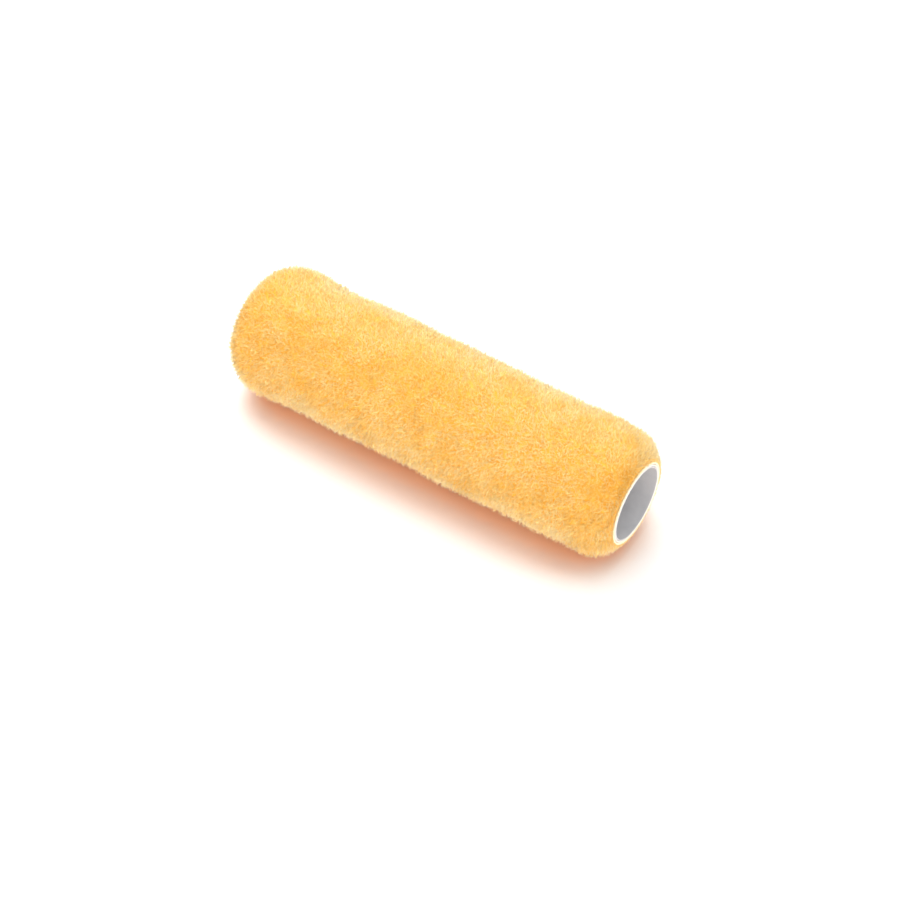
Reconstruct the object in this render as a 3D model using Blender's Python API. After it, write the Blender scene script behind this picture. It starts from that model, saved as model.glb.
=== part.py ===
"""Paint roller cover: a wound plastic core with a knitted plush nap bonded round it.

The roller's axis runs along X, at AXIS_HEIGHT above the origin. The origin is the
middle of the pressed strip on which the cover lies. Units are metres.
"""

import math

import bmesh
import bpy
import numpy as np

# ---- driving dimensions -------------------------------------------------------------

LENGTH = 0.230                # a nine inch cover, end to end
BORE_RADIUS = 0.0192          # slips over a 38 mm (inch and a half) cage
INNER_PLY = 0.0006            # thickness of the inner plastic strip
OUTER_PLY = 0.0006            # thickness of the outer plastic strip
BACKING = 0.0009              # thickness of the knitted backing
PILE = 0.0118                 # height of the pile above the backing
PLY_STRIP_WIDTH = 0.070       # width of the plastic strips before winding
FABRIC_STRIP_WIDTH = 0.073    # width of the plush strip before winding
SHOULDER_LENGTH = 0.0175      # how far the trimmed pile slopes back from each end
SHOULDER_FALL = 2.4           # how suddenly the slope starts, 2 is a round shoulder
SHOULDER_BELLY = 1.6          # how full the slope is, 2 is a round shoulder
END_PILE = 0.0011             # pile left standing at the very end
PRESSED_WIDTH = 0.0130        # width of the strip of pile pressed flat underneath
BOND_GAP = 0.0003             # clearance between bonded layers
SEAM_GAP = 0.0003             # butt seam between neighbouring turns of a strip
SHORTEST_EDGE = 0.0003        # where a strip's pointed end is blunted
COLUMNS = 64                  # straight sides round a full turn
SHOULDER_RINGS = 8            # rings of points down each shoulder

# ---- sizes that follow from them ----------------------------------------------------

OUTER_PLY_RADIUS = BORE_RADIUS + INNER_PLY + BOND_GAP
BACKING_RADIUS = OUTER_PLY_RADIUS + OUTER_PLY + BOND_GAP
PILE_ROOT_RADIUS = BACKING_RADIUS + BACKING + BOND_GAP
NAP_RADIUS = PILE_ROOT_RADIUS + PILE
AXIS_HEIGHT = math.sqrt(NAP_RADIUS ** 2 - (PRESSED_WIDTH / 2) ** 2)

# ---- colours ------------------------------------------------------------------------

GREY_PLASTIC = (0.46, 0.46, 0.47, 1.0)
PALE_PLASTIC = (0.87, 0.80, 0.65, 1.0)
CREAM_KNIT = (0.90, 0.75, 0.47, 1.0)
GOLDEN_PLUSH = (0.96, 0.57, 0.14, 1.0)


def clear_scene():
    """Remove every object that the file opened with."""
    for item in list(bpy.data.objects):
        bpy.data.objects.remove(item, do_unlink=True)


def make_material(name, colour, roughness, metallic=0.0):
    """Return a plain Principled material."""
    material = bpy.data.materials.new(name)
    material.use_nodes = True
    shader = material.node_tree.nodes["Principled BSDF"]
    shader.inputs["Base Color"].default_value = colour
    shader.inputs["Roughness"].default_value = roughness
    shader.inputs["Metallic"].default_value = metallic
    return material


def add_object(name, mesh_builder, material):
    """Turn a bmesh into a smooth shaded object standing on its own."""
    mesh = bpy.data.meshes.new(name)
    bmesh.ops.recalc_face_normals(mesh_builder, faces=mesh_builder.faces)
    mesh_builder.to_mesh(mesh)
    mesh_builder.free()
    mesh.shade_smooth()
    mesh.set_sharp_from_angle(angle=math.radians(35))
    mesh.materials.append(material)
    item = bpy.data.objects.new(name, mesh)
    item.location = (0.0, 0.0, AXIS_HEIGHT)
    bpy.context.collection.objects.link(item)
    return item


def winding_pitch(strip_width, radius):
    """Advance along the core in one turn, for a strip whose edges just meet.

    A strip of width w wound on a circumference c advances p, with w = p c / hypot(p, c).
    """
    circumference = 2 * math.pi * radius
    return strip_width * circumference / math.sqrt(circumference ** 2 - strip_width ** 2)


def strip_columns(pitch, first_edge):
    """Turns at which the strip is sampled, and its two edges along the core there.

    The leading edge advances one pitch a turn and the trailing edge follows one pitch
    less the seam behind it. Both are trimmed flush with the core's ends.
    """
    half = LENGTH / 2
    start = (SHORTEST_EDGE - first_edge) / pitch
    finish = (LENGTH + pitch - SEAM_GAP - SHORTEST_EDGE - first_edge) / pitch
    even = np.arange(math.ceil(start * COLUMNS) + 1, math.floor(finish * COLUMNS)) / COLUMNS
    trailing_enters = (pitch - SEAM_GAP - first_edge) / pitch
    leading_leaves = (LENGTH - first_edge) / pitch
    turns = np.unique(np.concatenate([[start, trailing_enters, leading_leaves, finish], even]))
    leading = first_edge + turns * pitch
    trailing = leading - pitch + SEAM_GAP
    return turns, np.clip(trailing, 0, LENGTH) - half, np.clip(leading, 0, LENGTH) - half


def add_wound_strip(name, inner_radius, thickness, strip_width, stagger, material):
    """Wind a flat strip into a tube with one spiral butt seam, trimmed at both ends.

    stagger moves the seam along the core by that share of a turn's advance.
    """
    pitch = winding_pitch(strip_width, inner_radius + thickness / 2)
    turns, trailing, leading = strip_columns(pitch, stagger * pitch)
    builder = bmesh.new()
    previous = None
    for turn, low, high in zip(turns, trailing, leading):
        angle = 2 * math.pi * turn
        ring = []
        for along, radius in ((low, inner_radius), (high, inner_radius),
                              (high, inner_radius + thickness), (low, inner_radius + thickness)):
            place = (along, radius * math.cos(angle), radius * math.sin(angle))
            ring.append(builder.verts.new(place))
        if previous is None:
            builder.faces.new(ring)
        else:
            for side in range(4):
                ahead = (side + 1) % 4
                builder.faces.new((previous[side], previous[ahead], ring[ahead], ring[side]))
        previous = ring
    builder.faces.new(previous)
    return add_object(name, builder, material)


def nap_profile():
    """Outline of the pile from one end to the other, as pairs of place and radius."""
    end_radius = PILE_ROOT_RADIUS + END_PILE
    rise = NAP_RADIUS - end_radius
    steps = 1 - np.cos(np.linspace(0, math.pi / 2, SHOULDER_RINGS))
    radius = end_radius + rise * (1 - (1 - steps) ** SHOULDER_FALL) ** (1 / SHOULDER_BELLY)
    place = LENGTH / 2 - SHOULDER_LENGTH * steps
    return [(-x, r) for x, r in zip(place, radius)] + list(zip(place, radius))[::-1]


def nap_angles():
    """Directions of the nap's columns, with one at each edge of the pressed strip."""
    half_flat = math.asin(PRESSED_WIDTH / 2 / NAP_RADIUS)
    flat_columns = math.ceil(COLUMNS * half_flat / math.pi)
    flat = np.linspace(-half_flat, half_flat, flat_columns, endpoint=False)
    rest = np.linspace(half_flat, 2 * math.pi - half_flat, COLUMNS - flat_columns, endpoint=False)
    return np.concatenate([flat, rest]) - math.pi / 2


def add_nap(material):
    """Turn the pile's outline round the core and press its lowest strip flat."""
    outline = [(-LENGTH / 2, PILE_ROOT_RADIUS)] + nap_profile() + [(LENGTH / 2, PILE_ROOT_RADIUS)]
    angles = nap_angles()
    builder = bmesh.new()
    rings = []
    for along, radius in outline:
        ring = []
        for angle in angles:
            height = max(radius * math.sin(angle), -AXIS_HEIGHT)
            ring.append(builder.verts.new((along, radius * math.cos(angle), height)))
        rings.append(ring)
    for ring, following in zip(rings, rings[1:] + rings[:1]):
        for column in range(COLUMNS):
            beside = (column + 1) % COLUMNS
            builder.faces.new((ring[column], ring[beside], following[beside], following[column]))
    return add_object("nap", builder, material)


def main():
    """Build the cover from the bore outwards."""
    clear_scene()
    grey = make_material("grey_plastic", GREY_PLASTIC, 0.45)
    pale = make_material("pale_plastic", PALE_PLASTIC, 0.5)
    knit = make_material("cream_knit", CREAM_KNIT, 0.9)
    plush = make_material("golden_plush", GOLDEN_PLUSH, 1.0)
    add_wound_strip("core_inner_ply", BORE_RADIUS, INNER_PLY, PLY_STRIP_WIDTH, 0.2, grey)
    add_wound_strip("core_outer_ply", OUTER_PLY_RADIUS, OUTER_PLY, PLY_STRIP_WIDTH, 0.7, pale)
    add_wound_strip("nap_backing", BACKING_RADIUS, BACKING, FABRIC_STRIP_WIDTH, 0.45, knit)
    add_nap(plush)


main()
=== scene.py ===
"""Looks of a paint roller cover: a wound plastic core under a fluffy plush nap.

The cover lies on its side with its axis along X. Every overall size comes from the
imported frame, and every shape is worked out as whole numpy arrays from a formula.
"""

import logging
import math
from dataclasses import dataclass
from enum import Enum

import bpy
import numpy as np
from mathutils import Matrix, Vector


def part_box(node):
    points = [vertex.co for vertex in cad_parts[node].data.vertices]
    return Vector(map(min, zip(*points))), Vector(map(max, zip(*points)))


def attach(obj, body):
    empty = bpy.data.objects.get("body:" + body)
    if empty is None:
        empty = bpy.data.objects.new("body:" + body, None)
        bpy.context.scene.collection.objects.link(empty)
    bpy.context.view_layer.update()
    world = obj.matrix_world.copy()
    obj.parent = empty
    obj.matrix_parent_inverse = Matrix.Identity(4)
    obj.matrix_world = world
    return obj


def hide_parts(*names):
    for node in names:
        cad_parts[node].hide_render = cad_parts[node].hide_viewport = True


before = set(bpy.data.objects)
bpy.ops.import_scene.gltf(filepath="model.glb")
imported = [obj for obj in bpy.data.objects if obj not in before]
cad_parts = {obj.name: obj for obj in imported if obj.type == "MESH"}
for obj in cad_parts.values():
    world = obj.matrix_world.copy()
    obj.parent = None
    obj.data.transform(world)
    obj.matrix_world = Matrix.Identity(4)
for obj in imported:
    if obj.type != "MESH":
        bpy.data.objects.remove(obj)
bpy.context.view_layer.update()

logging.basicConfig(level=logging.INFO, format="%(name)s: %(message)s")
log = logging.getLogger("roller_cover")

MM = 0.001
TURN = 2 * math.pi
SHARP_TURN = math.radians(20)
BAKE_MAP = "OFBake"
SCATTER_WEIGHTS = (127.1, 311.7, 74.7)
SCATTER_SEED = 19.19
SCATTER_GAIN = 43758.5453
EVEN_STEPS = (0.7548776662, 0.5698402910)

Colour = tuple[float, float, float]
Range = tuple[float, float]


class Fibre(Enum):
    """The sorts of fibre in the nap, by how many bent joints each has."""

    STRAIGHT = 0
    BENT = 1


# ---- arrays -------------------------------------------------------------------------


def scattered(points: np.ndarray, seed: int) -> np.ndarray:
    """Even random numbers from whole-number points, the same on every run.

    Formula: the fractional part of a large sine of a weighted sum of the coordinates.

    Args:
        points: whole numbers, shape (n, 2) or (n, 3).
        seed: picks one of many unrelated fields.

    Returns:
        n numbers from 0 to 1.
    """
    weights = np.array(SCATTER_WEIGHTS)[: points.shape[1]]
    raw = np.sin(points @ weights + seed * SCATTER_SEED) * SCATTER_GAIN
    return raw - np.floor(raw)


def noise(points: np.ndarray, size: float, seed: int) -> np.ndarray:
    """Smooth three-dimensional value noise.

    Formula: random numbers on a cubic lattice, blended with the smooth step
    3t^2 - 2t^3 along each side of the cell that holds the point.

    Args:
        points: places in metres, shape (n, 3).
        size: side of a lattice cell in metres.
        seed: picks one of many unrelated fields.

    Returns:
        n numbers from -1 to 1.
    """
    scaled = points / size
    cell = np.floor(scaled)
    step = scaled - cell
    step = step * step * (3 - 2 * step)
    total = np.zeros(len(points))
    for corner in np.ndindex(2, 2, 2):
        offset = np.array(corner)
        weight = np.prod(np.where(offset == 1, step, 1 - step), axis=1)
        total += weight * scattered(cell + offset, seed)
    return total * 2 - 1


def grid_faces(rows: int, columns: int, close_rows: bool, close_columns: bool) -> np.ndarray:
    """Four-sided faces of a grid of points numbered row by row.

    Args:
        rows: how many rows of points.
        columns: how many points in a row.
        close_rows: whether the last row joins the first.
        close_columns: whether each row's last point joins its first.

    Returns:
        Point numbers, shape (faces, 4), turned so that the faces point outwards.
    """
    row = np.arange(rows if close_rows else rows - 1)[:, None]
    column = np.arange(columns if close_columns else columns - 1)[None, :]
    after_row, after_column = (row + 1) % rows, (column + 1) % columns
    corners = [row * columns + column, row * columns + after_column,
               after_row * columns + after_column, after_row * columns + column]
    spread = [np.broadcast_to(corner, (row.size, column.size)) for corner in corners]
    return np.stack(spread, -1).reshape(-1, 4)[:, ::-1]


def grid_map(rows: int, columns: int, close_rows: bool, close_columns: bool) -> np.ndarray:
    """Flat map of the same faces, with nothing folded back at a closed side.

    Args:
        rows: how many rows of points.
        columns: how many points in a row.
        close_rows: whether the last row joins the first.
        close_columns: whether each row's last point joins its first.

    Returns:
        One pair from 0 to 1 for each corner of each face, shape (faces * 4, 2).
    """
    high = rows if close_rows else rows - 1
    wide = columns if close_columns else columns - 1
    row, column = np.meshgrid(np.arange(high), np.arange(wide), indexing="ij")
    across = np.stack([column, column + 1, column + 1, column], -1) / wide
    along = np.stack([row, row, row + 1, row + 1], -1) / high
    return np.stack([across, along], -1).reshape(-1, 4, 2)[:, ::-1].reshape(-1, 2)


def make_piece(name: str, points: np.ndarray, faces: list[np.ndarray],
               flat: np.ndarray | None = None, smooth_within: float | None = None,
               normals: np.ndarray | None = None) -> bpy.types.Object:
    """Put arrays of points and faces into a new smooth shaded object.

    Args:
        name: the piece's name.
        points: places in metres, shape (n, 3).
        faces: arrays of point numbers, each with one number of sides.
        flat: places on the flat map, one for each corner of each face.
        smooth_within: edges that turn by more than this angle are sharp.
        normals: the shading direction at each point, if not the faces' own.

    Returns:
        The object, linked to the scene.
    """
    mesh = bpy.data.meshes.new(name)
    sides = np.concatenate([np.full(len(group), group.shape[1]) for group in faces])
    corners = np.concatenate([group.ravel() for group in faces])
    mesh.vertices.add(len(points))
    mesh.vertices.foreach_set("co", np.ascontiguousarray(points, np.float32).ravel())
    mesh.loops.add(len(corners))
    mesh.loops.foreach_set("vertex_index", corners.astype(np.int32))
    mesh.polygons.add(len(sides))
    mesh.polygons.foreach_set("loop_start", (np.cumsum(sides) - sides).astype(np.int32))
    mesh.update(calc_edges=True)
    if flat is not None:
        layer = mesh.uv_layers.new(name=BAKE_MAP)
        layer.data.foreach_set("uv", np.ascontiguousarray(flat, np.float32).ravel())
    mesh.shade_smooth()
    if smooth_within is not None:
        mesh.set_sharp_from_angle(angle=smooth_within)
    if normals is not None:
        mesh.normals_split_custom_set_from_vertices(normals.astype(np.float32))
    piece = bpy.data.objects.new(name, mesh)
    bpy.context.scene.collection.objects.link(piece)
    return piece


def settle(piece: bpy.types.Object, slot: str, material: bpy.types.Material,
           *nodes: str) -> None:
    """Dress a finished piece and tie it to the frame.

    Args:
        piece: the piece, in place.
        slot: the record's material slot; not used.
        material: its material.
        nodes: the CAD nodes that it stands for.
    """
    piece.data.materials.append(material)
    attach(piece, "root")
    if nodes:
        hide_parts(*nodes)
    mesh = piece.data
    log.info("%s: %d points, %d faces", piece.name, len(mesh.vertices), len(mesh.polygons))


# ---- node groups and finishes -------------------------------------------------------


class Nodes:
    """A short way to add and link nodes in one tree."""

    def __init__(self, tree: bpy.types.NodeTree) -> None:
        """Keep the tree that the nodes go into."""
        self.tree = tree

    def feed(self, socket: bpy.types.NodeSocket, value: object) -> None:
        """Link an input to an output socket, or give it a plain value or colour.

        Args:
            socket: the input.
            value: an output socket, a number, or three parts of a colour.
        """
        if isinstance(value, bpy.types.NodeSocket):
            self.tree.links.new(value, socket)
        elif socket.type == "RGBA":
            socket.default_value = (*value, 1.0)
        else:
            socket.default_value = value

    def add(self, kind: str, inputs: dict[str | int, object] | None = None,
            **settings: object) -> bpy.types.Node:
        """Add a node, set its properties, and fill or link its inputs.

        Args:
            kind: the node's type without the ShaderNode in front.
            inputs: what feeds each named or numbered input.
            settings: properties of the node.

        Returns:
            The node.
        """
        node = self.tree.nodes.new("ShaderNode" + kind)
        for name, value in settings.items():
            setattr(node, name, value)
        for key, value in (inputs or {}).items():
            self.feed(node.inputs[key], value)
        return node

    def maths(self, operation: str, first: object, second: object,
              **settings: object) -> bpy.types.NodeSocket:
        """Add a Math node and return its output."""
        inputs = {0: first, 1: second}
        return self.add("Math", inputs, operation=operation, **settings).outputs[0]

    def blend(self, share: object, first: object, second: object) -> bpy.types.NodeSocket:
        """Mix two colours and return the mixed one."""
        return self.add("Mix", {0: share, 6: first, 7: second}, data_type="RGBA").outputs[2]


def mottle_group() -> bpy.types.NodeTree:
    """Patchy colour between a dark and a light tone, at two scales.

    Formula: noise at Scale, plus Fine parts of noise five times smaller, stretched
    about its middle by Contrast.

    Returns:
        The shader node group, with outputs Colour and Height.
    """
    middle, finer = 0.5, 5.0
    tree = bpy.data.node_groups.new("patchy_tone", "ShaderNodeTree")
    sockets = [("Dark", "INPUT", "Color"), ("Light", "INPUT", "Color"),
               ("Scale", "INPUT", "Float"), ("Fine", "INPUT", "Float"),
               ("Contrast", "INPUT", "Float"), ("Colour", "OUTPUT", "Color"),
               ("Height", "OUTPUT", "Float")]
    for label, side, kind in sockets:
        tree.interface.new_socket(label, in_out=side, socket_type="NodeSocket" + kind)
    nodes = Nodes(tree)
    place = nodes.add("TexCoord").outputs["Object"]
    given = tree.nodes.new("NodeGroupInput").outputs
    wide = nodes.add("TexNoise", {"Vector": place, "Scale": given["Scale"], "Detail": 3.0},
                     noise_dimensions="3D").outputs[0]
    fine_scale = nodes.maths("MULTIPLY", given["Scale"], finer)
    small = nodes.add("TexNoise", {"Vector": place, "Scale": fine_scale, "Detail": 2.0},
                      noise_dimensions="3D").outputs[0]
    added = nodes.maths("MULTIPLY", nodes.maths("SUBTRACT", small, middle), given["Fine"])
    height = nodes.maths("ADD", wide, added)
    centred = nodes.maths("SUBTRACT", height, middle)
    stretched = nodes.maths("MULTIPLY", centred, given["Contrast"])
    share = nodes.maths("ADD", stretched, middle, use_clamp=True)
    result = tree.nodes.new("NodeGroupOutput")
    nodes.feed(result.inputs["Colour"], nodes.blend(share, given["Dark"], given["Light"]))
    nodes.feed(result.inputs["Height"], height)
    return tree


def start_material(name: str, **sockets: object
                   ) -> tuple[bpy.types.Material, Nodes, bpy.types.Node]:
    """Begin a material whose Principled shader has these plain values.

    Args:
        name: the material's name.
        sockets: sockets of the shader, with _ for a space in the name.

    Returns:
        The material, a helper to fill its tree, and its shader node.
    """
    material = bpy.data.materials.new(name)
    material.use_nodes = True
    nodes = Nodes(material.node_tree)
    shader = material.node_tree.nodes["Principled BSDF"]
    for label, value in sockets.items():
        nodes.feed(shader.inputs[label.replace("_", " ")], value)
    return material, nodes, shader


@dataclass(frozen=True)
class PatchyFinish:
    """A matt surface whose colour wanders between two tones over a faint grain."""

    name: str
    dark: Colour
    light: Colour
    scale: float
    fine: float = 0.6
    contrast: float = 1.6
    roughness: float = 0.5
    grain: float = 0.02 * MM
    sheen: float = 0.0
    sheen_roughness: float = 0.6

    def build(self, mottle: bpy.types.NodeTree) -> bpy.types.Material:
        """Make the material.

        Args:
            mottle: the shared patchy tone group.

        Returns:
            The material.
        """
        material, nodes, shader = start_material(
            self.name, Roughness=self.roughness, Sheen_Weight=self.sheen,
            Sheen_Roughness=self.sheen_roughness)
        tone = nodes.add(
            "Group", {"Dark": self.dark, "Light": self.light, "Scale": self.scale,
                      "Fine": self.fine, "Contrast": self.contrast}, node_tree=mottle)
        bump = nodes.add("Bump", {"Height": tone.outputs["Height"], "Distance": self.grain,
                                  "Strength": 1.0})
        nodes.feed(shader.inputs["Base Color"], tone.outputs["Colour"])
        nodes.feed(shader.inputs["Normal"], bump.outputs[0])
        return material


@dataclass(frozen=True)
class FibreFinish:
    """Dyed pile: each fibre has a tone, and its colour darkens from its tip to its root as
    painted shade deep in the pile, with the pale tips a painted highlight.

    The flat map holds the tone across and the way from root to tip up it. The tip's
    colour comes in as the way up raised to the power reach.
    """

    name: str = "dyed_pile_with_painted_shade"
    deep_shaded_root: Colour = (0.92, 0.48, 0.05)
    pale_shaded_root: Colour = (0.97, 0.65, 0.15)
    deep_lit_tip: Colour = (1.0, 0.77, 0.23)
    pale_lit_tip: Colour = (1.0, 0.95, 0.64)
    reach: float = 3.0
    fuzz: float = 0.9
    fuzz_colour: Colour = (1.0, 0.90, 0.78)
    fuzz_roughness: float = 0.5
    roughness: float = 0.75
    shine: float = 0.25

    def build(self) -> bpy.types.Material:
        """Make the material.

        Returns:
            The material.
        """
        material, nodes, shader = start_material(
            self.name, Roughness=self.roughness, Specular_IOR_Level=self.shine,
            Sheen_Weight=self.fuzz, Sheen_Roughness=self.fuzz_roughness,
            Sheen_Tint=self.fuzz_colour)
        place = nodes.add("UVMap", uv_map=BAKE_MAP)
        tone, along, _ = nodes.add("SeparateXYZ", {0: place.outputs[0]}).outputs
        # Painted shade and highlight: darker root colours deep in the pile, paler tip colours
        # where the tips catch the light.
        root = nodes.blend(tone, self.deep_shaded_root, self.pale_shaded_root)
        tip = nodes.blend(tone, self.deep_lit_tip, self.pale_lit_tip)
        colour = nodes.blend(nodes.maths("POWER", along, self.reach), root, tip)
        nodes.feed(shader.inputs["Base Color"], colour)
        return material


# ---- the core and the backing -------------------------------------------------------


@dataclass
class WoundStrip:
    """A flat strip wound into a tube, with a spiral butt seam, trimmed at both ends.

    The stagger is where the seam starts, in pitches. A corner's rounding is held to
    the strip's width over round_at_most, and cap_size is how large the two cut ends
    are on the flat map.
    """

    name: str
    node: str
    strip_width: float
    inner: float
    stagger: float
    seam: float = 0.08 * MM
    rounding: float = 0.12 * MM
    round_at_most: float = 2.5
    columns: int = 240
    corner_points: int = 3
    scallop: float = 0.0
    scallops_a_turn: int = 0
    cap_size: float = 0.002

    def __post_init__(self) -> None:
        """Take the outside and the length from the CAD node, and work out the pitch."""
        low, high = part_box(self.node)
        self.length = high.x - low.x
        self.outer = (high.y - low.y) / 2
        self.centre = (low + high) / 2
        width, circumference = self.strip_width, math.pi * (self.inner + self.outer)
        self.pitch = width * circumference / math.sqrt(circumference ** 2 - width ** 2)

    def edges(self) -> tuple[np.ndarray, np.ndarray, np.ndarray]:
        """Turns at which the strip is sampled and its two edges along X there.

        Formula: the leading edge is turns times pitch past the stagger, the trailing
        edge one pitch less the seam behind it, and both are held between the ends.

        Returns:
            The turns, the trailing edge and the leading edge, each of shape (n,).
        """
        first = self.stagger * self.pitch
        tip = 2 * self.rounding
        start = (tip - first) / self.pitch
        finish = (self.length + self.pitch - self.seam - tip - first) / self.pitch
        turns = np.linspace(start, finish, math.ceil((finish - start) * self.columns))
        leading = first + turns * self.pitch
        trailing = leading - self.pitch + self.seam
        low = np.clip(trailing, 0, self.length) - self.length / 2
        high = np.clip(leading, 0, self.length) - self.length / 2
        return turns, low, high

    def section(self) -> tuple[np.ndarray, np.ndarray, np.ndarray, np.ndarray]:
        """Outline of the strip's cut section as shares and roundings.

        Formula: a quarter circle at each corner of the unit square, so a point is
        corner + rounding * (cosine, sine) of its angle.

        Returns:
            For each point, its corner along and across, and its rounding along and
            across.
        """
        quarter = np.linspace(0, TURN / 4, self.corner_points)
        corners = np.array([(1, 1), (0, 1), (0, 0), (1, 0)], float)
        along, across = np.repeat(corners, self.corner_points, axis=0).T
        angles = np.concatenate([quarter + corner * TURN / 4 for corner in range(4)])
        return along, across, np.cos(angles), np.sin(angles)

    def build(self, material: bpy.types.Material, slot: str) -> bpy.types.Object:
        """Make the strip and tie it to the frame.

        Formula: the section stretched between the strip's edges and faces at each
        turn, and carried round the axis. Scallops are a sine of the turn that is
        added to the thickness and taken from the width.

        Args:
            material: its finish.
            slot: the record's material slot.

        Returns:
            The piece.
        """
        turns, low, high = (values[:, None] for values in self.edges())
        along, across, round_along, round_across = self.section()
        bevel = np.minimum(self.rounding, (high - low) / self.round_at_most)
        inset = bevel * (round_along - np.sign(along - 0.5))
        place = low + (high - low) * along + inset
        inset = bevel * (round_across - np.sign(across - 0.5))
        radius = self.inner + (self.outer - self.inner) * across + inset
        if self.scallops_a_turn:
            wave = np.sin(TURN * turns * self.scallops_a_turn)
            radius = radius + self.scallop * wave * (across - 0.5)
            place = place + self.scallop * np.sign(along - 0.5) * (wave - 1) * 0.5
        angle = TURN * turns
        points = np.stack([place, radius * np.cos(angle), radius * np.sin(angle)], -1)
        points = points.reshape(-1, 3) + np.array(self.centre)
        rows, columns = place.shape
        first_cap = np.arange(columns)[None, :]
        last_cap = (first_cap + (rows - 1) * columns)[:, ::-1]
        cap = np.stack([round_along, round_across], -1)
        caps = self.cap_size * np.concatenate([cap, cap[::-1]]) + 0.5
        piece = make_piece(
            self.name, points, [grid_faces(rows, columns, False, True), first_cap, last_cap],
            np.concatenate([grid_map(rows, columns, False, True), caps]), SHARP_TURN)
        settle(piece, slot, material, self.node)
        return piece


@dataclass
class Core:
    """The stiff tube: two plies of plastic strip, the outer one's seam staggered."""

    strip_width: float = 70 * MM
    bore: float = 19.2 * MM
    wall_gap: float = 0.25 * MM
    inner_stagger: float = 0.2
    outer_stagger: float = 0.7
    inner_finish: PatchyFinish = PatchyFinish(
        "grey_plastic", (0.47, 0.47, 0.485), (0.55, 0.55, 0.56), 60.0, roughness=0.42)
    outer_finish: PatchyFinish = PatchyFinish(
        "pale_plastic", (0.74, 0.70, 0.62), (0.80, 0.76, 0.69), 90.0, roughness=0.5)

    def build(self, mottle: bpy.types.NodeTree) -> None:
        """Make both plies.

        Args:
            mottle: the shared patchy tone group.
        """
        inner = WoundStrip("inner_ply", "core_inner_ply", self.strip_width, self.bore,
                           self.inner_stagger)
        inner.build(self.inner_finish.build(mottle), "grey_plastic")
        outer = WoundStrip("outer_ply", "core_outer_ply", self.strip_width,
                           inner.outer + self.wall_gap, self.outer_stagger)
        outer.build(self.outer_finish.build(mottle), "pale_plastic")


@dataclass
class Backing:
    """The knitted cloth that the pile stands on, wound over the core."""

    strip_width: float = 73 * MM
    inner: float = 21.0 * MM
    stagger: float = 0.45
    seam: float = 0.2 * MM
    rounding: float = 0.2 * MM
    columns: int = 420
    scallop: float = 0.16 * MM
    scallops_a_turn: int = 105
    finish: PatchyFinish = PatchyFinish(
        "cream_knit", (0.80, 0.65, 0.42), (0.90, 0.79, 0.60), 900.0, roughness=0.9,
        grain=0.15 * MM, sheen=0.2)

    def build(self, mottle: bpy.types.NodeTree) -> None:
        """Args:
            mottle: the shared patchy tone group.
        """
        strip = WoundStrip(
            "knitted_backing", "nap_backing", self.strip_width, self.inner, self.stagger,
            seam=self.seam, rounding=self.rounding, columns=self.columns,
            scallop=self.scallop, scallops_a_turn=self.scallops_a_turn)
        piece = strip.build(self.finish.build(mottle), "cream_knit")


# ---- the nap ------------------------------------------------------------------------


@dataclass(frozen=True)
class Habit:
    """How one sort of fibre grows, and its count in a piece. Lengths are in millimetres.

    A range is a least value and the spread above it. A fibre is pulled to its tuft's
    centre by a share, and part of its rise is shared by the whole tuft. Strays rise
    clear of the rest.
    """

    count: int
    lean: Range
    rise: Range
    pull: Range
    paler: float
    rise_power: float = 1.0
    rise_of_tuft: float = 0.0
    stray_share: float = 0.0
    stray_rise: Range = (0.3, 1.7)
    stray_width: float = 1.1

    def draw(self, rng: np.random.Generator, tuft_rise: np.ndarray
             ) -> tuple[np.ndarray, np.ndarray, np.ndarray]:
        """Choose how far each fibre leans and rises, and how wide it is.

        Args:
            rng: the seeded source of random numbers.
            tuft_rise: a number from 0 to 1 for each fibre, the same through a tuft.

        Returns:
            Lean and rise in metres, and width as a share of the usual, each (n,).
        """
        count = tuft_rise.size
        stray = np.zeros(count, bool)
        if self.stray_share:
            stray = rng.random(count) < self.stray_share
        lean = self.lean[0] + self.lean[1] * rng.random(count)
        rise = self.rise[0] + self.rise[1] * rng.random(count) ** self.rise_power
        rise = rise + self.rise_of_tuft * (tuft_rise - 0.5)
        if self.stray_share:
            clear = self.stray_rise[0] + self.stray_rise[1] * rng.random(count)
            rise = np.where(stray, clear, rise)
        return lean * MM, rise * MM, np.where(stray, self.stray_width, 1.0)


HABITS = {
    Fibre.STRAIGHT: Habit(21500, (0.1, 0.4), (-0.1, -0.5), (0.25, 0.35), -0.02,
                          rise_power=1.5, rise_of_tuft=0.35),
    Fibre.BENT: Habit(11000, (0.8, 1.5), (-0.2, 0.5), (0.1, 0.0), 0.06,
                      stray_share=0.32),
}


@dataclass(frozen=True)
class Ring:
    """A fuller ring round the nap, or a thinner one where its height is negative."""

    height: float
    place: float
    width: float

    def at(self, x: np.ndarray) -> np.ndarray:
        """Height at places along X, as a bell curve of the distance."""
        return self.height * np.exp(-((x - self.place) / self.width) ** 2)


@dataclass(frozen=True)
class Wave:
    """A slow wave that fits a whole number of times round the nap."""

    height: float
    times_round: int
    a_metre: float
    start: float

    def at(self, x: np.ndarray, angle: np.ndarray) -> np.ndarray:
        """Height, as a sine of the angle round and the distance along."""
        return self.height * np.sin(self.times_round * angle + self.a_metre * x + self.start)


@dataclass(frozen=True)
class Patches:
    """Smooth patches of one size that add to a length or a tone."""

    height: float
    size: float
    seed: int

    def at(self, points: np.ndarray) -> np.ndarray:
        """Height at each point."""
        return self.height * noise(points, self.size, self.seed)


@dataclass(frozen=True)
class Spike:
    """The mesh of one fibre: rings of three points, then a tip.

    Widths are shares of the fibre's own, ring by ring. Climbs are how far from root
    to tip each point is on the flat map.
    """

    widths: tuple[float, ...]
    faces: tuple[tuple[int, int, int], ...]
    climbs: tuple[float, ...]


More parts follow.
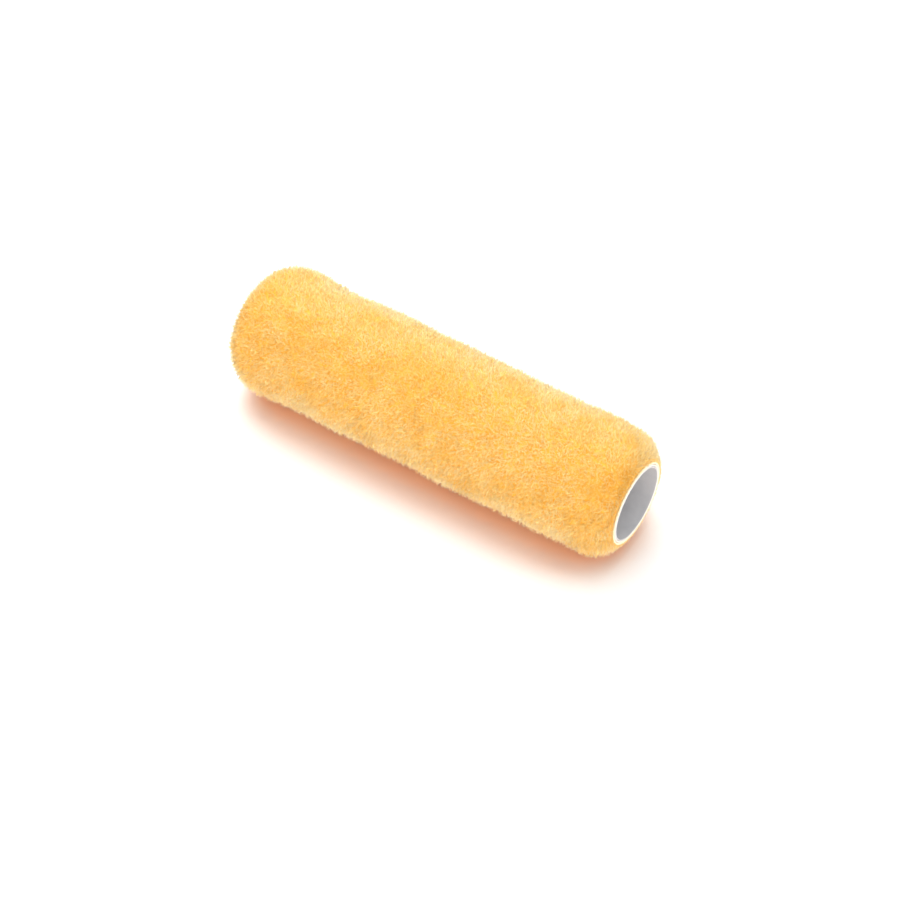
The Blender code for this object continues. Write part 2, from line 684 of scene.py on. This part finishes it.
SPIKES = {
    Fibre.STRAIGHT: Spike(
        (1.0,),
        ((2, 1, 0), (0, 1, 3), (1, 2, 3), (2, 0, 3)),
        (0.01, 0.02, 0.01, 0.99)),
    Fibre.BENT: Spike(
        (1.0, 0.85),
        ((2, 1, 0), (0, 1, 4), (0, 4, 3), (1, 2, 5), (1, 5, 4), (2, 0, 3), (2, 3, 5),
         (3, 4, 6), (4, 5, 6), (5, 3, 6)),
        (0.01, 0.02, 0.01, 0.55, 0.56, 0.55, 0.99)),
}


@dataclass
class Nap:
    """The plush: a closed undercoat of matted pile with separate fibres standing in it."""

    # The outline and how it swells.
    shoulder_length: float = 17.5 * MM
    shoulder_fall: float = 2.4
    shoulder_belly: float = 1.6
    shoulder_points: int = 40
    middle_points: int = 60
    end_pile: float = 0.4 * MM
    bond: float = 0.3 * MM
    lip: float = 0.1 * MM
    sample_step: float = 0.4 * MM
    fade_depth: float = 6 * MM
    taper: float = 1.1 * MM
    rings: tuple[Ring, ...] = (Ring(0.8 * MM, -0.095, 0.011), Ring(-0.7 * MM, -0.066, 0.013))
    waves: tuple[Wave, ...] = (
        Wave(0.22, 3, 61, 0.7), Wave(0.2, 2, -95, 2.1), Wave(0.16, 5, 148, 4.0),
        Wave(0.14, 1, 210, 1.2))
    floor_gap: float = 0.05 * MM
    pressed_share: float = 0.12

    # The fibres.
    pieces: int = 8
    fibre_length: float = 4.2 * MM
    fibre_radius: float = 0.15 * MM
    width_range: Range = (0.75, 0.5)
    tuft_spacing: float = 1.25 * MM
    combing: Patches = Patches(1.0, 14 * MM, 5)
    combing_spread: float = 0.6
    full_depth: float = 7 * MM
    least_room: float = 0.35
    depth_used: Range = (0.4 * MM, 0.9)
    radial_share: float = 0.55
    bend_place: float = 0.78
    bend_lean: float = 0.3
    bow: float = 0.22 * MM
    roundness: float = 1.3
    facing_spread: float = 0.22

    # The fibres' tones.
    usual_tone: float = 0.52
    tone_patches: tuple[Patches, ...] = (
        Patches(0.5, 8 * MM, 21), Patches(0.3, 22 * MM, 22))
    trimmed_tone: float = 0.2
    trimmed_place: float = 14 * MM
    trimmed_width: float = 10 * MM
    tuft_tone: float = 0.22
    tone_spread: float = 0.09
    tone_range: Range = (0.02, 0.98)
    tone_width: float = 0.006

    # The undercoat.
    undercoat_depth: float = 1.5 * MM
    undercoat_inset: float = 0.7 * MM
    undercoat_patches: tuple[Patches, ...] = (
        Patches(0.4 * MM, 1.3 * MM, 31), Patches(0.2 * MM, 5 * MM, 32))
    undercoat_room: float = 0.7
    undercoat_rows: int = 400
    undercoat_columns: int = 224
    bore_rows: int = 12
    bore_inset: float = 0.9 * MM

    seed: int = 11
    # The undercoat's deep orange is painted shade: the pile's colour darkened as it lies deep
    # down where little light reaches.
    undercoat: PatchyFinish = PatchyFinish(
        "matted_pile_painted_shade", (0.88, 0.36, 0.02), (0.96, 0.54, 0.09), 160.0, roughness=0.95,
        grain=0.4 * MM)
    fibre: FibreFinish = FibreFinish()

    def __post_init__(self) -> None:
        """Take the sizes from the CAD nap and backing, and draw the nap's outline.

        Formula: along each shoulder the radius falls from the full one as
        (1 - u^fall)^(1/belly), where u goes from 0 at the shoulder to 1 at the end.
        """
        low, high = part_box("nap")
        backing_low, backing_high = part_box("nap_backing")
        self.half = (high.x - low.x) / 2
        self.radius = (high.y - low.y) / 2
        self.axis_height = (backing_low.z + backing_high.z) / 2
        self.root = (backing_high.y - backing_low.y) / 2 + self.bond
        self.floor = low.z
        steps = 1 - np.cos(np.linspace(0, TURN / 4, self.shoulder_points))
        end = self.root + self.end_pile
        fall = (1 - (1 - steps) ** self.shoulder_fall) ** (1 / self.shoulder_belly)
        slope = end + (self.radius - end) * fall
        place = self.half - self.shoulder_length * steps
        middle = np.linspace(-place[-1], place[-1], self.middle_points)[1:-1]
        inside, flat = [self.root + self.lip], np.full(middle.size, self.radius)
        self.line_x = np.concatenate([[-self.half], -place, middle, place[::-1], [self.half]])
        self.line_r = np.concatenate([inside, slope, flat, slope[::-1], inside])
        lengths = np.hypot(np.diff(self.line_x), np.diff(self.line_r))
        areas = lengths * (self.line_r[1:] + self.line_r[:-1]) / 2
        self.line_s = np.concatenate([[0], np.cumsum(lengths)])
        self.line_area = np.concatenate([[0], np.cumsum(areas)]) / areas.sum()

    def outline(self, s: np.ndarray) -> tuple[np.ndarray, np.ndarray]:
        """Place along X and radius of the outline, at lengths along it."""
        return np.interp(s, self.line_s, self.line_x), np.interp(s, self.line_s, self.line_r)

    def swell(self, x: np.ndarray, angle: np.ndarray) -> np.ndarray:
        """How far the tips stand above or below the even outline.

        Formula: a slight taper towards the near end, a fuller ring with a dip beside
        it at the far end, and slow waves that fit a whole number of times round.

        Args:
            x: places along the axis.
            angle: directions round the axis.

        Returns:
            Heights in metres, shape (n,).
        """
        taper = -self.taper * x / self.half
        return taper + sum(r.at(x) for r in self.rings) + sum(
            wave.at(x, angle) for wave in self.waves) * MM

    def surface(self, s: np.ndarray, angle: np.ndarray) -> tuple[np.ndarray, np.ndarray]:
        """Place and outward direction of the pile's tips.

        Formula: the outline carried round the axis, moved along its own normal by the
        swell, which fades to nothing at the trimmed ends.

        Args:
            s: length along the outline from the far end.
            angle: direction round the axis, 0 along +Y and a quarter turn along +Z.

        Returns:
            Places relative to the axis and unit normals, each of shape (n, 3).
        """
        x, r = self.outline(s)
        ahead_x, ahead_r = self.outline(np.minimum(s + self.sample_step, self.line_s[-1]))
        behind_x, behind_r = self.outline(np.maximum(s - self.sample_step, 0))
        dx, dr = ahead_x - behind_x, ahead_r - behind_r
        size = np.hypot(dx, dr)
        normal_x, normal_r = -dr / size, dx / size
        fade = np.clip((r - self.root - self.end_pile) / self.fade_depth, 0, 1)
        lift = self.swell(x, angle) * fade
        x = x + normal_x * lift
        r = r + normal_r * lift
        cosine, sine = np.cos(angle), np.sin(angle)
        places = np.stack([x, r * cosine, r * sine], -1)
        normals = np.stack([normal_x, normal_r * cosine, normal_r * sine], -1)
        return places, normals

    def tufts(self, s: np.ndarray, angle: np.ndarray) -> dict[str, np.ndarray]:
        """The tuft that each fibre belongs to: the nearest of a scattered grid of centres.

        Args:
            s: length along the outline.
            angle: direction round the axis.

        Returns:
            Shifts to the tuft's centre along the outline and round it, in metres, and
            four random numbers of the tuft.
        """
        chances = ("lean", "turn", "tone", "rise")
        around = round(TURN * self.radius / self.tuft_spacing)
        row, column = s / self.tuft_spacing, angle / TURN * around
        best = np.full(s.shape, np.inf)
        result = {key: np.zeros(s.shape) for key in ("along", "round", *chances)}
        for step_row, step_column in np.ndindex(3, 3):
            cell_row = np.floor(row) + step_row - 1
            cell_column = np.floor(column) + step_column - 1
            cell = np.stack([cell_row, cell_column % around], -1)
            along = (cell_row + scattered(cell, 1) - row) * self.tuft_spacing
            beside = (cell_column + scattered(cell, 2) - column) * self.tuft_spacing
            distance = np.hypot(along, beside)
            nearer = distance < best
            best = np.where(nearer, distance, best)
            found = {"along": along, "round": beside}
            found |= {key: scattered(cell, seed) for seed, key in enumerate(chances, 3)}
            for key, value in found.items():
                result[key] = np.where(nearer, value, result[key])
        return result

    def tones(self, rng: np.random.Generator, surface: np.ndarray, tuft_tone: np.ndarray,
              paler: float) -> np.ndarray:
        """Tone of each fibre, from deep at 0 to pale at 1.

        Formula: a usual tone plus patches of two sizes, less a bell curve beside each
        trimmed end, plus a share of the tuft's own chance and one of the fibre's.

        Args:
            rng: the seeded source of random numbers.
            surface: where the fibres reach the pile's surface, shape (n, 3).
            tuft_tone: a number from 0 to 1 for each fibre, the same through a tuft.
            paler: how much this sort of fibre is above the rest.

        Returns:
            Tones, shape (n,).
        """
        from_end = np.abs(surface[:, 0]) - self.half + self.trimmed_place
        trimmed = np.exp(-(from_end / self.trimmed_width) ** 2)
        tone = self.usual_tone
        for patches in self.tone_patches:
            tone = tone + patches.at(surface)
        tone = tone - self.trimmed_tone * trimmed + self.tuft_tone * (tuft_tone - 0.5)
        tone = tone + rng.normal(paler, self.tone_spread, len(surface))
        return np.clip(tone, *self.tone_range)

    def place_fibres(self, rng: np.random.Generator, habit: Habit, low: float, high: float
                     ) -> dict[str, np.ndarray]:
        """Roots, middles and tips of the fibres between two places along the outline.

        Formula: a fibre starts a fibre's length below the pile's surface and ends near
        the surface. A straight one is drawn part of the way to its tuft's centre; a
        bent one stands for most of its length, then leans over the way its tuft is
        combed, and a few strays rise clear of the rest. Where the pile is shallow,
        all of them are shorter and lean less.

        Args:
            rng: the seeded source of random numbers.
            habit: how this sort of fibre grows.
            low: share of the nap's area before the first fibre.
            high: share of the nap's area before the last fibre.

        Returns:
            Arrays root, middle, tip and facing of shape (n, 3), and width, tone of (n,).
        """
        count = habit.count
        order = np.arange(count)
        share = low + (high - low) * ((order * EVEN_STEPS[0] + rng.random()) % 1.0)
        angle = TURN * ((order * EVEN_STEPS[1] + rng.random()) % 1.0)
        s = np.interp(share, self.line_area, self.line_s)
        tuft = self.tufts(s, angle)
        surface, normal = self.surface(s, angle)
        radial = np.stack([np.zeros(count), np.cos(angle), np.sin(angle)], -1)
        sideways = np.stack([np.zeros(count), -np.sin(angle), np.cos(angle)], -1)
        lengthways = np.cross(sideways, normal)

        combed = TURN * (self.combing.at(surface) + tuft["turn"])
        combed = combed + rng.normal(0, self.combing_spread, count)
        lean, rise, width = habit.draw(rng, tuft["rise"])
        depth = np.hypot(surface[:, 1], surface[:, 2]) - self.root
        room = np.clip(depth / self.full_depth, self.least_room, 1)
        lean, rise = lean * room, rise * room
        pull = habit.pull[0] + habit.pull[1] * tuft["lean"]
        along = lean * np.cos(combed) + pull * tuft["along"]
        across = lean * np.sin(combed) + pull * tuft["round"]
        shift = lengthways * along[:, None] + sideways * across[:, None]

        tip = surface + normal * rise[:, None] + shift
        upright = radial * self.radial_share + normal * (1 - self.radial_share)
        upright /= np.linalg.norm(upright, axis=1, keepdims=True)
        room = depth * self.depth_used[1] + self.depth_used[0]
        root = surface - upright * np.minimum(self.fibre_length, room)[:, None]
        bow = rng.normal(0, self.bow, (count, 2))
        middle = root + (tip - shift - root) * self.bend_place + shift * self.bend_lean
        middle = middle + lengthways * bow[:, :1] + sideways * bow[:, 1:]

        tone = self.tones(rng, surface, tuft["tone"], habit.paler)
        least, spread = self.width_range
        width = self.fibre_radius * (least + spread * rng.random(count)) * width
        facing = normal + rng.normal(0, self.facing_spread, (count, 3))
        return {"root": root, "middle": middle, "tip": tip, "width": width, "tone": tone,
                "facing": facing}

    def press(self, points: np.ndarray) -> np.ndarray:
        """Flatten what would reach below the surface that the cover lies on.

        Formula: the height is held just above the floor, rising by a small share of
        how far the point would have gone below it.

        Args:
            points: places relative to the axis, shape (n, 3).

        Returns:
            The same places in the frame, pressed.
        """
        height = points[:, 2] + self.axis_height
        rest = self.floor + self.floor_gap
        pressed = rest + (rest - height) * self.pressed_share
        points[:, 2] = np.where(height < rest, pressed, height)
        return points

    def spikes(self, hair: dict[str, np.ndarray], spike: Spike, rng: np.random.Generator
               ) -> tuple[np.ndarray, np.ndarray, np.ndarray, np.ndarray]:
        """Three-sided tapering spikes along the fibres, closed at the root.

        Formula: a triangle round the root, for a bent fibre another round the middle
        that is a little narrower, and one point at the tip.

        Args:
            hair: the arrays from place_fibres.
            spike: the mesh of one fibre.
            rng: the seeded source of random numbers.

        Returns:
            Points (n, 3), three-sided faces (m, 3), flat places (m * 3, 2), and the
            shading directions at the points (n, 3), which lean to the nap's own.
        """
        count = len(hair["tip"])
        course = hair["tip"] - hair["root"]
        side = np.cross(course, rng.normal(size=(count, 3)))
        side /= np.linalg.norm(side, axis=1, keepdims=True)
        across = np.cross(course, side)
        across /= np.linalg.norm(across, axis=1, keepdims=True)
        turn = (np.arange(3) * TURN / 3)[:, None]
        ring = side[:, None] * np.cos(turn) + across[:, None] * np.sin(turn)

        stations = zip((hair["root"], hair["middle"]), spike.widths)
        girth = ring * hair["width"][:, None, None]
        rings = [place[:, None] + girth * width for place, width in stations]
        points = np.concatenate([*rings, hair["tip"][:, None]], axis=1)
        facing = hair["facing"][:, None]
        shade = [facing + self.roundness * ring] * len(rings) + [facing]
        shade = np.concatenate(shade, axis=1)
        shade /= np.linalg.norm(shade, axis=2, keepdims=True)

        corners = points.shape[1]
        first = corners * np.arange(count)[:, None, None]
        faces = (np.array(spike.faces)[None] + first).reshape(-1, 3)
        spread = np.append(np.tile([-1.0, 0.0, 1.0], len(rings)), 0.2) * self.tone_width
        tone = hair["tone"][:, None] + spread
        flat = np.stack([tone, np.broadcast_to(spike.climbs, tone.shape)], -1)
        flat = flat.reshape(-1, 2)[faces.ravel()]
        return points.reshape(-1, 3), faces, flat, shade.reshape(-1, 3)

    def build_fibres(self, index: int, rng: np.random.Generator,
                     material: bpy.types.Material) -> None:
        """Make one band of the nap's fibres, straight and bent ones together.

        Args:
            index: the band's number, from the far end.
            rng: the seeded source of random numbers.
            material: the pile's finish.
        """
        low, high = index / self.pieces, (index + 1) / self.pieces
        points, faces, flats, shades, total = [], [], [], [], 0
        for kind in Fibre:
            hair = self.place_fibres(rng, HABITS[kind], low, high)
            place, sides, flat, shade = self.spikes(hair, SPIKES[kind], rng)
            points.append(place)
            faces.append(sides + total)
            flats.append(flat)
            shades.append(shade)
            total += len(place)
        piece = make_piece(
            f"pile_band_{index + 1}", self.press(np.concatenate(points)), faces,
            np.concatenate(flats), normals=np.concatenate(shades))
        settle(piece, "golden_plush", material)

    def build_undercoat(self, mottle: bpy.types.NodeTree) -> None:
        """Make the matted pile under the tips as one closed ring.

        Formula: the tips' surface moved in by the undercoat's depth and by noise of
        two sizes, joined at both ends to the cylinder that fits over the backing.

        Args:
            mottle: the shared patchy tone group.
        """
        columns = self.undercoat_columns
        angle = np.arange(columns) / columns * TURN
        ends = self.undercoat_inset, self.line_s[-1] - self.undercoat_inset
        s = np.linspace(*ends, self.undercoat_rows)
        grid_s, grid_angle = (a.ravel() for a in np.meshgrid(s, angle, indexing="ij"))
        surface, normal = self.surface(grid_s, grid_angle)
        room = np.hypot(surface[:, 1], surface[:, 2]) - self.root
        depth = self.undercoat_depth
        for patches in self.undercoat_patches:
            depth = depth + patches.at(surface)
        depth = np.minimum(depth, room * self.undercoat_room)
        outer = surface - normal * depth[:, None]
        bore_x = np.linspace(1, -1, self.bore_rows) * (self.half - self.bore_inset)
        bore_x, turned = (a.ravel() for a in np.meshgrid(bore_x, angle, indexing="ij"))
        bore = np.stack([bore_x, self.root * np.cos(turned), self.root * np.sin(turned)], -1)
        grid = self.undercoat_rows + self.bore_rows, columns, True, True
        piece = make_piece("undercoat", self.press(np.concatenate([outer, bore])),
                           [grid_faces(*grid)], grid_map(*grid))
        settle(piece, "golden_plush", self.undercoat.build(mottle), "nap")

    def build(self, mottle: bpy.types.NodeTree) -> None:
        """Make the undercoat and every band of fibres.

        Args:
            mottle: the shared patchy tone group.
        """
        self.build_undercoat(mottle)
        rng = np.random.default_rng(self.seed)
        material = self.fibre.build()
        for index in range(self.pieces):
            self.build_fibres(index, rng, material)


# ---- the studio ---------------------------------------------------------------------


def aim(thing: bpy.types.Object, place: Vector, target: Vector) -> None:
    """Stand a lamp or a camera at a place, facing a target.

    Args:
        thing: the lamp or the camera.
        place: where it stands.
        target: what it faces.
    """
    thing.location = place
    thing.rotation_mode = "QUATERNION"
    thing.rotation_quaternion = (target - place).to_track_quat("-Z", "Y")
    bpy.context.scene.collection.objects.link(thing)


@dataclass(frozen=True)
class Lamp:
    """A square soft lamp, with its side in metres and its power in watts."""

    name: str
    place: tuple[float, float, float]
    size: float
    power: float
    colour: Colour = (1.0, 1.0, 1.0)

    def hang(self, target: Vector) -> None:
        """Hang the lamp so that it faces the target.

        Args:
            target: what it lights.
        """
        data = bpy.data.lights.new(self.name, "AREA")
        data.shape = "SQUARE"
        data.size = self.size
        data.energy = self.power
        data.color = self.colour
        aim(bpy.data.objects.new(self.name, data), Vector(self.place), target)


@dataclass
class Studio:
    """A white floor, soft lamps and the camera.

    The camera stands at an azimuth and an elevation in degrees. The floor carries a
    painted shadow: the camera sees it in the first painted shadow colour, a dark warm
    orange that stands in for the cover's shadow and the light through its pile, where
    the cover is close all round, and in the next ones further out, up to seen_white.
    Each step is a pair of neighbouring stops, as shares of open sky within the painted
    shadow's reach. Light bounces off the floor by floor_bounce, warmer and brighter
    than white.
    """

    azimuth: float = 34.94
    elevation: float = 45.33
    distance: float = 0.8617
    lens: float = 68.0
    sensor: float = 36.0
    nearest: float = 0.01
    aim_right: float = 0.0048
    aim_down: float = 0.0216
    floor_size: float = 6.0
    floor_bounce: Colour = (1.40, 1.27, 1.18)
    seen_white: Colour = (0.8, 0.8, 0.8)
    # Painted shadow on the floor: the colours the camera sees where the cover closes the
    # floor in, dark warm orange nearest, standing in for its shadow and the light through its
    # pile.
    painted_shadow_colours: tuple[Colour, ...] = ((0.83, 0.47, 0.325), (0.70, 0.545, 0.49))
    painted_shadow_reach: float = 0.12
    painted_shadow_stops: tuple[float, ...] = (0.27, 0.46, 0.70)
    painted_shadow_samples: int = 16
    ambient: float = 1.22
    lamps: tuple[Lamp, ...] = (
        Lamp("key", (-0.4, 0.25, 1.15), 1.2, 12.0, (0.93, 0.97, 1.0)),
        Lamp("fill", (0.7, -0.9, 0.9), 0.9, 2.3))

    def camera(self, target: Vector) -> None:
        """Stand the camera at its angle and distance, looking a little past the target.

        Args:
            target: the middle of the cover.
        """
        turn, tilt = math.radians(self.azimuth), math.radians(self.elevation)
        level = math.cos(tilt)
        back = Vector((math.sin(turn) * level, -math.cos(turn) * level, math.sin(tilt)))
        right = Vector((math.cos(turn), math.sin(turn), 0.0))
        up = back.cross(right)
        data = bpy.data.cameras.new("camera")
        data.sensor_width = self.sensor
        data.lens = self.lens
        data.clip_start = self.nearest
        camera = bpy.data.objects.new("camera", data)
        aim(camera, target + back * self.distance,
            target + right * self.aim_right - up * self.aim_down)
        bpy.context.scene.camera = camera

    def floor(self) -> None:
        """Lay the floor: white to the camera with a painted shadow near the cover, and warmer
        and brighter than white to the light that bounces off.
        """
        half = self.floor_size / 2
        corners = half * np.array([(-1, -1, 0), (1, -1, 0), (1, 1, 0), (-1, 1, 0)], float)
        floor = make_piece("floor", corners, [np.array([[0, 1, 2, 3]])])
        material = bpy.data.materials.new("white_floor")
        material.use_nodes = True
        material.node_tree.nodes.clear()
        nodes = Nodes(material.node_tree)
        path = nodes.add("LightPath")
        # Painted shadow: how closed in each point of the floor is picks its colour for the
        # camera, darker and more orange near the cover.
        painted_shadow_mask = nodes.add("AmbientOcclusion", {"Distance": self.painted_shadow_reach},
                           samples=self.painted_shadow_samples)
        seen = self.painted_shadow_colours[0]
        further = (*self.painted_shadow_colours[1:], self.seen_white)
        for low, high, colour in zip(self.painted_shadow_stops, self.painted_shadow_stops[1:], further):
            share = nodes.add("MapRange", {0: painted_shadow_mask.outputs["AO"], 1: low, 2: high},
                              interpolation_type="SMOOTHSTEP")
            seen = nodes.blend(share.outputs[0], seen, colour)
        colour = nodes.blend(path.outputs["Is Camera Ray"], self.floor_bounce, seen)
        shader = nodes.add("BsdfDiffuse", {"Color": colour})
        nodes.add("OutputMaterial", {"Surface": shader.outputs[0]})
        floor.data.materials.append(material)

    def world(self) -> None:
        """Even light all round, with pure white where the camera sees past the floor."""
        world = bpy.data.worlds.new("world")
        bpy.context.scene.world = world
        world.use_nodes = True
        nodes = Nodes(world.node_tree)
        path = nodes.add("LightPath").outputs
        seen = nodes.maths("MAXIMUM", path["Is Camera Ray"], path["Is Glossy Ray"])
        dimmed = nodes.maths("MULTIPLY", seen, 1.0 - self.ambient)
        sky = world.node_tree.nodes["Background"].inputs
        nodes.feed(sky["Color"], (1.0, 1.0, 1.0))
        nodes.feed(sky["Strength"], nodes.maths("ADD", dimmed, self.ambient))

    def build(self, target: Vector) -> None:
        """Set up the whole studio round the target.

        Args:
            target: the middle of the cover.
        """
        bpy.context.scene.view_settings.view_transform = "Standard"
        self.floor()
        self.world()
        for lamp in self.lamps:
            lamp.hang(target)
        self.camera(target)


def main() -> None:
    """Build the cover from the bore outwards, then the studio round it."""
    mottle = mottle_group()
    Core().build(mottle)
    Backing().build(mottle)
    nap = Nap()
    nap.build(mottle)
    Studio().build(Vector((0.0, 0.0, nap.axis_height)))


if __name__ == "__main__":
    main()
